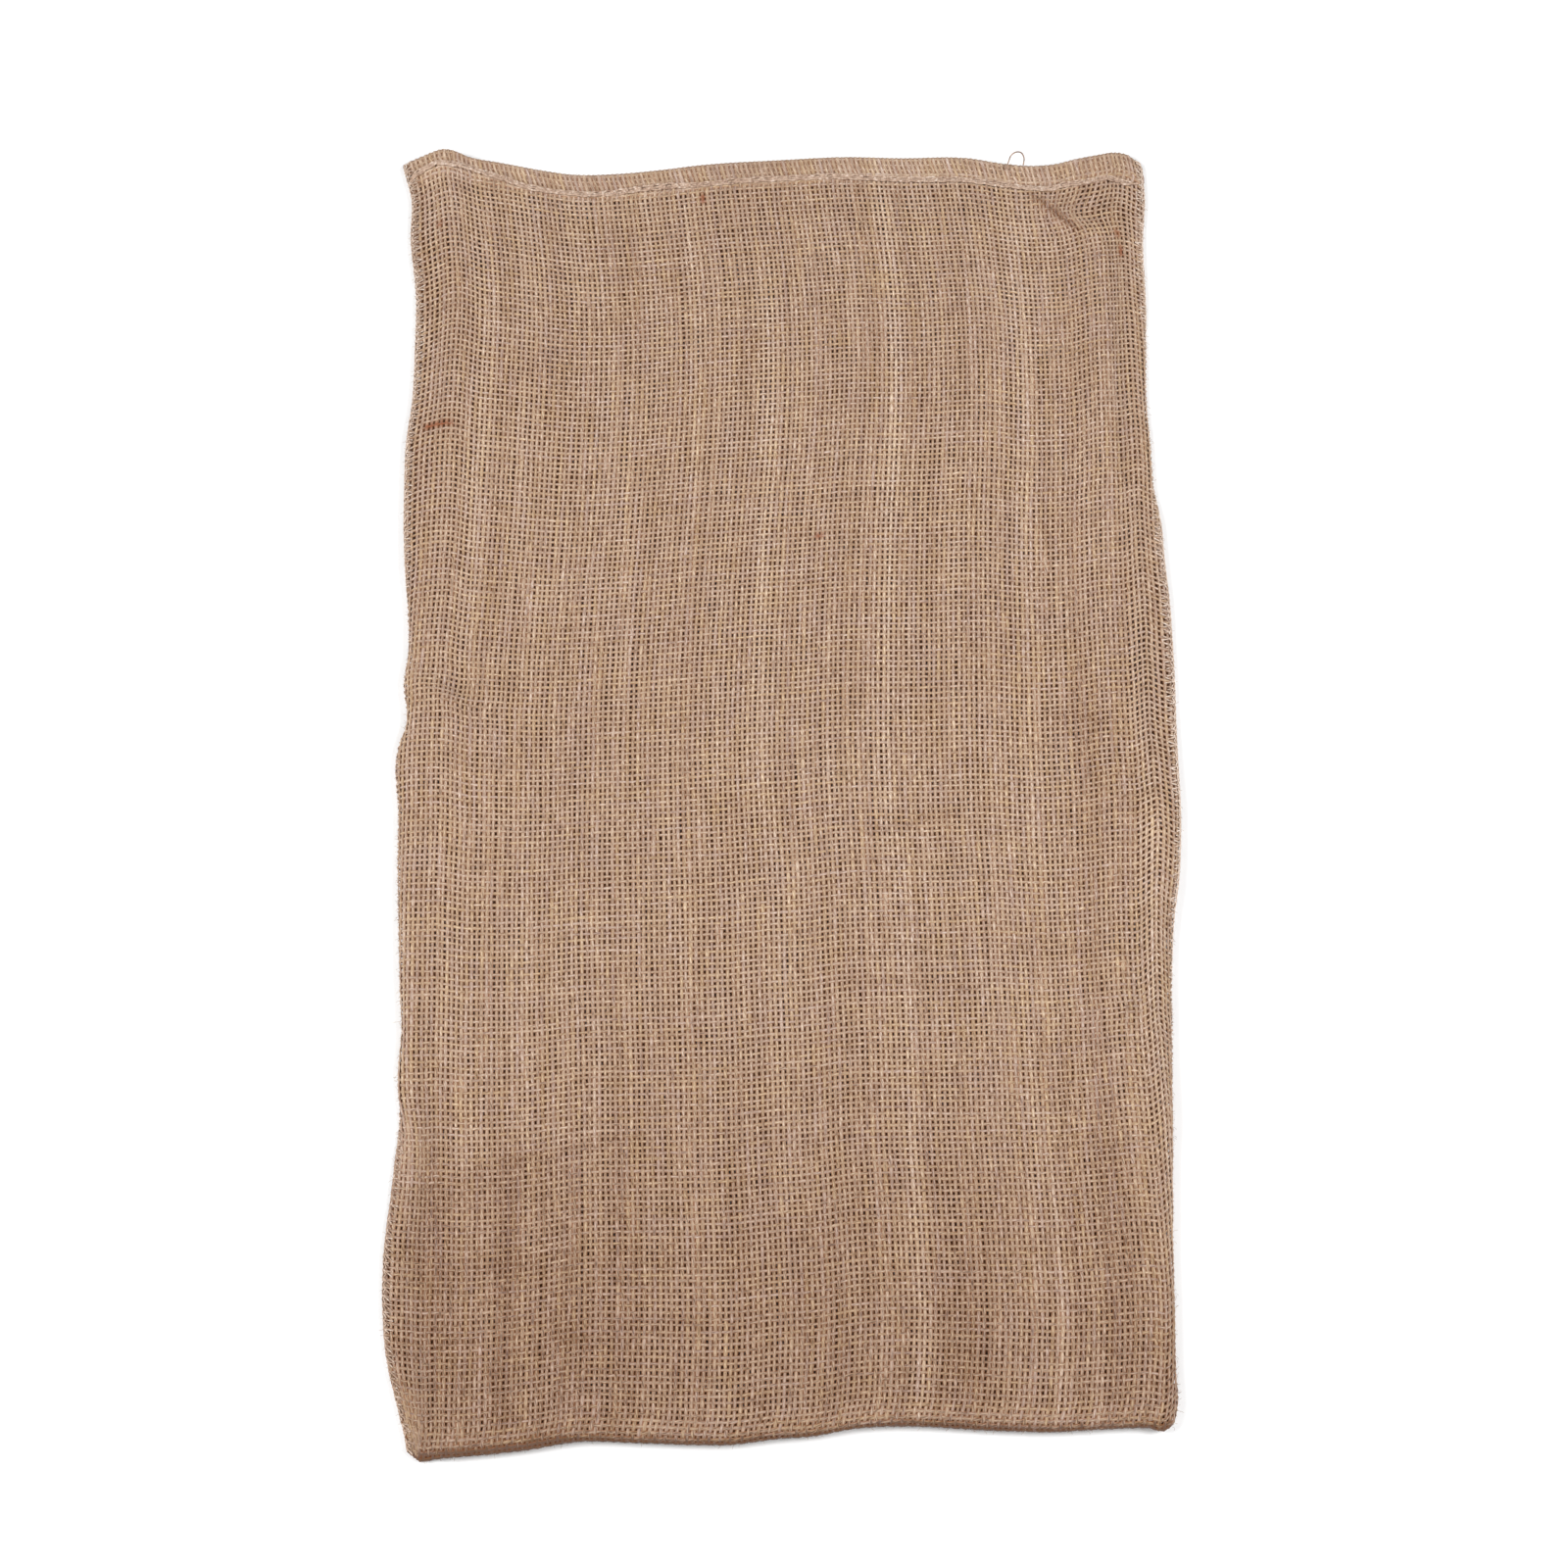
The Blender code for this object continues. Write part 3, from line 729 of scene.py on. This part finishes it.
# the same fibres stand up as fine ridges
bump = node("Bump", {"Height": fine, "Strength": 0.8, "Distance": 0.0006})
hessian.node_tree.links.new(bump, shader.inputs["Normal"])
dull = node("MapRange", {"Value": fine, "To Min": 0.8, "To Max": 0.98})
hessian.node_tree.links.new(dull, shader.inputs["Roughness"])
shader.inputs["Specular IOR Level"].default_value = 0.25
shader.inputs["Sheen Weight"].default_value = 0.12
shader.inputs["Sheen Roughness"].default_value = 0.5

CLOTH_LENGTH = 1.0  # of the front and of the back, in metres
HEM_DEPTH = 0.024
HEM_WARP_HALF = 1.15 * WARP_HALF  # the turned-in yarns are pressed flatter
HEM_WEFT_HALF = 1.3 * WEFT_HALF

front = Yarns(front_points, WARP_HALF, WEFT_HALF, is_front=True)
back = Yarns(back_points, WARP_HALF, WEFT_HALF)
front_hem = Yarns(front_hem_points, HEM_WARP_HALF, HEM_WEFT_HALF)
back_hem = Yarns(back_hem_points[:, ::-1], HEM_WARP_HALF, HEM_WEFT_HALF)
below_mouth = (np.arange(WEFTS + 2) - 0.5) * WEFT_PITCH
gather(front, below_mouth)
gather(back, below_mouth[::-1])
# the crease in the mouth's right corner has drawn the lengthwise yarns to the left
from_x = (front.points[..., 0] - 250) / 28
from_up = (front.points[..., 1] + ORIGIN_UP - 948) / 15
pull = 9 * np.exp(-(from_x**2) - from_up**2)
front.points = front.points - front.across * pull[..., None]
# towards the bottom fold the front's yarns are pressed closer together, and lean to the left
near_fold = ease((26 - below_mouth[::-1]) / 20)
from_side = np.minimum(np.arange(WARPS), WARPS - 1 - np.arange(WARPS))
lean = 2.4 * near_fold * ease(from_side / 10)[:, None]
front.points = front.points - front.across * lean[..., None]
front.warp_halves *= 1 + 0.1 * near_fold
front.weft_halves *= 1 + 0.3 * near_fold
for side, yarns, strips, length in (
    ("front", front, STRIPS, CLOTH_LENGTH),
    ("back", back, STRIPS, CLOTH_LENGTH),
    ("front_hem", front_hem, [0, WARPS], HEM_DEPTH),
    ("back_hem", back_hem, [0, WARPS], HEM_DEPTH),
):
    for number, (first, beyond) in enumerate(zip(strips, strips[1:]), 1):
        strip = weave(f"hessian_{side}_{number}", yarns, first, beyond)
        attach(strip, "root")
        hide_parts("sack_cloth")

# --- The mouth hem's sewing --------------------------------------------------------------------------
# A chain stitch of thick two-ply jute twine holds the turned hem, on the front and on the back: each
# loop comes up through the end of the one before it, which makes a row of long flat links.

STITCH_PITCH = 10.0
STITCH_TWINE = 0.85  # half its thickness
# The line of the stitch: x, up.
STITCH_LINE = np.array([
    (-296, 978), (-291, 985), (-283, 989), (-274, 992), (-265, 991), (-254, 989), (-237, 983), (-217, 976),
    (-204, 970), (-183, 965), (-150, 962), (-126, 964), (-110, 967), (-86, 970), (-62, 971), (-28, 975),
    (7, 977), (47, 979), (102, 976), (147, 976), (166, 974), (179, 972), (196, 969), (211, 967), (222, 967),
    (231, 971), (251, 974), (267, 978), (282, 977), (297, 977),
], float)
# One link of the chain: along, across and above the cloth, in millimetres.
LINK = np.array([
    (0, -0.3, -0.5), (2, -0.8, 0.3), (5, -1.5, 0.4), (8.5, -1.9, 0.3), (12, -1.8, 0.4), (14.5, -1.2, 0.7),
    (15.6, 0, 1.0), (14.5, 1.2, 0.7), (12, 1.8, 0.4), (8.5, 1.9, 0.3), (5, 1.5, 0.4), (2, 0.8, 0.3),
    (0, 0.3, -0.5),
])


def on_cloth(x, up, is_front, above):
    """Points above the cloth's outer face, by their x, up and height above it."""
    share = (x + through(up, SECTIONS, 1)) / (through(up, SECTIONS, 1) + through(up, SECTIONS, 2))
    share = np.clip(share, 0, 1)
    mouth = through(share, MOUTH)
    if not is_front:
        mouth = mouth + through(share, BACK_MOUTH)
    bottom = through(share, BOTTOM)
    height = lay(share, np.clip((up - bottom) / (mouth - bottom), 0, 1), is_front)[2]
    return np.stack([x, up - ORIGIN_UP, height + above if is_front else height - above], axis=-1)


def twine_tree():
    """Geometry Nodes that turn lines into round twine, each line a little thicker or thinner."""
    tree = bpy.data.node_groups.new("twine along lines", "GeometryNodeTree")
    face = tree.interface
    face.new_socket("Geometry", in_out="INPUT", socket_type="NodeSocketGeometry")
    for name, low, high in (("Half Thickness", 0.0, 0.01), ("Unevenness", 0.0, 1.0)):
        socket = face.new_socket(name, in_out="INPUT", socket_type="NodeSocketFloat")
        socket.min_value = low
        socket.max_value = high
    for name, least in (("Sides", 3), ("Seed", 0)):
        socket = face.new_socket(name, in_out="INPUT", socket_type="NodeSocketInt")
        socket.min_value = least
    face.new_socket("Material", in_out="INPUT", socket_type="NodeSocketMaterial")
    face.new_socket("Geometry", in_out="OUTPUT", socket_type="NodeSocketGeometry")
    inputs = tree.nodes.new("NodeGroupInput").outputs
    steps = {}
    for name, kind in (("curve", "GeometryNodeMeshToCurve"), ("random", "FunctionNodeRandomValue"),
                       ("low", "ShaderNodeMath"), ("high", "ShaderNodeMath"),
                       ("radius", "GeometryNodeSetCurveRadius"),
                       ("ring", "GeometryNodeCurvePrimitiveCircle"),
                       ("tube", "GeometryNodeCurveToMesh"), ("smooth", "GeometryNodeSetShadeSmooth"),
                       ("real", "GeometryNodeRealizeInstances"), ("material", "GeometryNodeSetMaterial"),
                       ("out", "NodeGroupOutput")):
        steps[name] = tree.nodes.new(kind)
    steps["random"].data_type = "FLOAT"
    steps["low"].operation = "SUBTRACT"
    steps["low"].inputs[0].default_value = 1.0
    steps["high"].operation = "ADD"
    steps["high"].inputs[0].default_value = 1.0
    steps["tube"].inputs["Fill Caps"].default_value = True
    for source, target in (
        (inputs["Geometry"], steps["curve"].inputs["Mesh"]),
        (inputs["Unevenness"], steps["low"].inputs[1]),
        (inputs["Unevenness"], steps["high"].inputs[1]),
        (steps["low"].outputs[0], steps["random"].inputs[2]),
        (steps["high"].outputs[0], steps["random"].inputs[3]),
        (inputs["Seed"], steps["random"].inputs["Seed"]),
        (steps["curve"].outputs["Curve"], steps["radius"].inputs["Curve"]),
        (steps["random"].outputs[1], steps["radius"].inputs["Radius"]),
        (inputs["Sides"], steps["ring"].inputs["Resolution"]),
        (inputs["Half Thickness"], steps["ring"].inputs["Radius"]),
        (steps["radius"].outputs["Curve"], steps["tube"].inputs["Curve"]),
        (steps["ring"].outputs["Curve"], steps["tube"].inputs["Profile Curve"]),
        (steps["tube"].outputs["Mesh"], steps["smooth"].inputs["Geometry"]),
        (steps["smooth"].outputs["Geometry"], steps["real"].inputs["Geometry"]),
        (steps["real"].outputs["Geometry"], steps["material"].inputs["Geometry"]),
        (inputs["Material"], steps["material"].inputs["Material"]),
        (steps["material"].outputs["Geometry"], steps["out"].inputs["Geometry"]),
    ):
        tree.links.new(source, target)
    return tree


along_lines = twine_tree()


def twine(name, lines, half, material, unevenness, sides, seed, paler=0.0):
    """One piece of many stitches or fibres, from their lines and half thickness in millimetres."""
    points = np.concatenate(lines)
    points[:, 2] = np.maximum(points[:, 2], half)
    lengths = [len(line) for line in lines]
    starts = np.cumsum([0] + lengths[:-1])
    edges = []
    for start, length in zip(starts, lengths):
        edges += [(place, place + 1) for place in range(start, start + length - 1)]
    guide_mesh = bpy.data.meshes.new(name + "_guide")
    guide_mesh.from_pydata((points * MM).tolist(), edges, [])
    yarns_of = np.repeat(chance.random(len(lines)), lengths)
    runs = np.concatenate([run(line) for line in lines])
    values = {"yarn": yarns_of, "run": runs, "across": points[:, 0] + NOMINAL_WIDTH / 2,
              "along": points[:, 1] + ORIGIN_UP, "fibre_tone_and_painted_light": np.full(len(points), paler)}
    for attribute, value in values.items():
        layer = guide_mesh.attributes.new(attribute, "FLOAT", "POINT")
        layer.data.foreach_set("value", value.astype(np.float32))
    guide = bpy.data.objects.new(name + "_guide", guide_mesh)
    bpy.context.collection.objects.link(guide)
    modifier = guide.modifiers.new("twine", "NODES")
    modifier.node_group = along_lines
    values = {"Half Thickness": half * MM, "Unevenness": unevenness, "Sides": sides, "Seed": seed,
              "Material": material}
    for item in along_lines.interface.items_tree:
        if item.in_out == "INPUT" and item.name in values:
            modifier[item.identifier] = values[item.name]
    bpy.context.view_layer.update()
    graph = bpy.context.evaluated_depsgraph_get()
    mesh = bpy.data.meshes.new_from_object(guide.evaluated_get(graph))
    bpy.data.objects.remove(guide)
    mesh.name = name
    piece = bpy.data.objects.new(name, mesh)
    bpy.context.collection.objects.link(piece)
    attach(piece, "root")
    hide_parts("sack_cloth")
    return piece


# Two-ply jute sewing twine, a shade paler and smoother than the cloth's yarns.
sewing_twine = hessian.copy()
sewing_twine.name = "two-ply jute sewing twine"
for ramp in sewing_twine.node_tree.nodes:
    if ramp.type == "VALTORGB":
        colours(ramp, (0.12, "#765a49"), (0.36, "#a48875"), (0.58, "#bba18d"), (0.84, "#dccbbd"))

line_run = run(STITCH_LINE)
for is_front in (True, False):
    lines = []
    for start in np.arange(2, line_run[-1] - 15, STITCH_PITCH):
        link = LINK * (1, chance.uniform(0.8, 1.15), 1) + chance.normal(0, 0.22, LINK.shape) * (1, 1, 0.3)
        at = start + link[:, 0]
        x, up, ahead_x, ahead_up = (np.interp(where, line_run, STITCH_LINE[:, axis])
                                    for where in (at, at + 1) for axis in (0, 1))
        way = np.stack([ahead_x - x, ahead_up - up]) / np.hypot(ahead_x - x, ahead_up - up)
        lines.append(on_cloth(x - way[1] * link[:, 1], up + way[0] * link[:, 1], is_front, link[:, 2]))
    # the straight needle thread that the links hold down
    at = np.arange(1, line_run[-1] - 1, 2.5)
    x, up = (np.interp(at, line_run, STITCH_LINE[:, axis]) + chance.normal(0, 0.2, len(at))
             for axis in (0, 1))
    lines.append(on_cloth(x, up, is_front, 0.2))
    side = "front" if is_front else "back"
    twine("hem_chain_stitch_" + side, lines, STITCH_TWINE, sewing_twine, unevenness=0.15, sides=5, seed=3)

# --- The side seams' overlock ------------------------------------------------------------------------
# Both raw edges of a side are wrapped together by an overlock stitch of thinner jute twine: it goes
# from a line 7 mm in on one face, slanting, over the edge, to the same line on the other face.

OVERLOCK_PITCH = 5.6
OVERLOCK_TWINE = 0.55  # half its thickness
LOOPER_TWINE = 0.6
OVERLOCK_DEPTH = 7.0


def round_seam(up, from_seam, is_left, above):
    """A point on the cloth round a side, by its distance from the seam's edge: + on top, - underneath."""
    row = int(np.clip(np.searchsorted(alongs * NOMINAL_LENGTH, up), 1, len(alongs) - 1))
    under = back_face[max(row, tucked)]
    if is_left:
        line = np.concatenate([under[round_side:0:-1], front_face[row][:round_side]])
        distances = run(line) - run(line)[round_side]
        place = seam_left[row] + from_seam
    else:
        line = np.concatenate([front_face[row][-round_side:], under[-2:-round_side - 2:-1]])
        distances = run(line) - run(line)[round_side - 1]
        place = seam_right[row] - from_seam
    before, point, after = along_line(line, distances, [place - 0.7, place, place + 0.7])
    out = np.array([-(after - before)[2], 0, (after - before)[0]])
    return point + unit(out) * above + (0, up - alongs[row] * NOMINAL_LENGTH, 0)


lines = []
chains = []
for is_left in (True, False):
    for at in np.arange(3, NOMINAL_LENGTH - 2, OVERLOCK_PITCH):
        for slant in (-1, 1):
            reach = np.linspace(1, -1, 8)
            reach = OVERLOCK_DEPTH * np.sign(reach) * np.abs(reach) ** 1.5 * chance.uniform(0.5, 1.1)
            ups = at + slant * reach * 0.3 + chance.normal(0, 0.6)
            aboves = 0.2 - 0.5 * (reach / OVERLOCK_DEPTH) ** 4 + chance.normal(0, 0.08, len(reach))
            lines.append(np.array([round_seam(*place, is_left, above)
                                   for *place, above in zip(ups, reach, aboves)]))
    # the two looper threads lock along the cut edge, one above and one below it
    for from_seam in (0.9, -0.9):
        ups = np.arange(1, NOMINAL_LENGTH - 1, 2.4)
        waves = from_seam + 0.7 * np.where(np.arange(len(ups)) % 2, 1, -1)
        waves = waves + chance.normal(0, 0.15, len(ups))
        chains.append(np.array([round_seam(up, place, is_left, 0.3) for up, place in zip(ups, waves)]))
SEAM_PAINTED_LIGHT = 0.16  # painted light: the seams' twine is made paler to offset the shade it lies in at the sack's sides
twine("side_overlock", lines, OVERLOCK_TWINE, sewing_twine, unevenness=0.25, sides=3, seed=5,
      paler=SEAM_PAINTED_LIGHT)
twine("side_edge_chain", chains, LOOPER_TWINE, sewing_twine, unevenness=0.25, sides=3, seed=8,
      paler=SEAM_PAINTED_LIGHT)

# The loose end of the hem's twine stands up over the mouth edge as one small arch.
ARCH = np.array([
    (0, 186, 984, 13.4), (1, 188.6, 991, 13.8), (2, 190.6, 996, 14.6), (3, 194.6, 999, 15.2),
    (4, 199, 998.6, 15.0), (5, 201.3, 994, 14.2), (6, 200.5, 988, 13.5),
])
arch = np.stack([through(np.linspace(0, 6, 25), ARCH, column) for column in (1, 2, 3)], axis=-1)
LOOSE_TWINE = 0.55  # half its thickness: drawn out thinner than in the stitch, and darker
twine("loose_twine_end", [arch - (0, ORIGIN_UP, 0)], LOOSE_TWINE, sewing_twine, unevenness=0.1, sides=5,
      seed=6, paler=-0.25)

# --- Stray fibres ------------------------------------------------------------------------------------
# Fine ends of raw jute that have worked out of the yarns: they lie bent on the cloth, and stand out
# from its edges.

FIBRE = 0.11  # half its thickness
ON_CLOTH = 430
AT_EDGES = 640

bow = np.array([0, 0.25, 0.5, 0.75, 1])
starts_x = chance.uniform(-272, 276, ON_CLOTH)
starts_up = chance.uniform(12, 975, ON_CLOTH)
ways = chance.uniform(0, 2 * np.pi, ON_CLOTH)
lengths = chance.uniform(4, 13, ON_CLOTH)
bends = chance.normal(0, 0.9, ON_CLOTH)
lines = []
for x, up, way, length, bend in zip(starts_x, starts_up, ways, lengths, bends):
    turned = way + bend * bow
    lines.append(on_cloth(x + length * bow * np.cos(turned), up + length * bow * np.sin(turned), True,
                          0.3 + 1.1 * np.sin(np.pi * bow)))

sides = chance.choice(4, AT_EDGES, p=(0.34, 0.34, 0.2, 0.12))  # left, right, mouth, bottom
for side, place in zip(sides, chance.uniform(0.01, 0.99, AT_EDGES)):
    if side < 2:
        up = place * NOMINAL_LENGTH
        edge = np.array([through(up, SECTIONS, side + 1) * (-1, 1)[side], up])
        way = np.pi * (1 - side)
    else:
        up = through(place, MOUTH if side == 2 else BOTTOM)
        left, right = (through(up, SECTIONS, column) for column in (1, 2))
        edge = np.array([place * (left + right) - left, up])
        way = np.pi * (0.5 if side == 2 else -0.5)
    way = way + chance.uniform(-1.2, 1.2) + chance.normal(0, 0.7) * bow[::2]
    reach = chance.uniform(2, 4.4) * bow[::2] - 1.3
    spot = edge[:, None] + reach * np.stack([np.cos(way), np.sin(way)])
    height = chance.uniform(1.5, 4.5) + 1.2 * np.sin(np.pi * bow[::2])
    lines.append(np.stack([spot[0], spot[1] - ORIGIN_UP, height], axis=-1))
twine("stray_fibres", lines, FIBRE, hessian, unevenness=0.4, sides=3, seed=11)

# --- Floor, light and camera -------------------------------------------------------------------------
# A plain white sweep under big soft lights, with the camera high above the sack's lower end.

bpy.ops.mesh.primitive_plane_add(size=12)
floor = bpy.context.object
floor.name = "floor"
# Matt white paper: no colour and no gloss of its own.
paper = bpy.data.materials.new("matt white backdrop paper")
paper.use_nodes = True
matt = paper.node_tree.nodes["Principled BSDF"].inputs
matt["Base Color"].default_value = linear("#f4f4f4")
matt["Roughness"].default_value = 0.95
matt["Specular IOR Level"].default_value = 0.1
floor.data.materials.append(paper)

world = bpy.data.worlds.new("soft room light")
world.use_nodes = True
glow = world.node_tree.nodes["Background"].inputs
glow["Color"].default_value = (0.96, 0.98, 1.0, 1)
glow["Strength"].default_value = 0.16
bpy.context.scene.world = world
for name, place, size, power in (
    ("softbox at the left", (-1.95, 0.15, 1.6), 1.3, 63),
    ("softbox at the right", (1.95, 0.15, 1.6), 1.3, 60),
    ("softbox at the foot", (0.0, -2.6, 1.2), 1.4, 30),
):
    light = bpy.data.lights.new(name, "AREA")
    light.size = size
    light.energy = power
    lamp = bpy.data.objects.new(name, light)
    lamp.location = place
    lamp.rotation_euler = (-lamp.location).to_track_quat("-Z", "Y").to_euler()
    bpy.context.collection.objects.link(lamp)

camera = bpy.data.cameras.new("camera")
camera.lens = 50
camera.sensor_width = 36
eye = bpy.data.objects.new("camera", camera)
eye.location = (0.00725, -0.495878, 1.5524)
eye.rotation_euler = (np.radians(16.83), 0, 0)
bpy.context.collection.objects.link(eye)
bpy.context.scene.camera = eye
bpy.context.scene.view_settings.view_transform = "Standard"
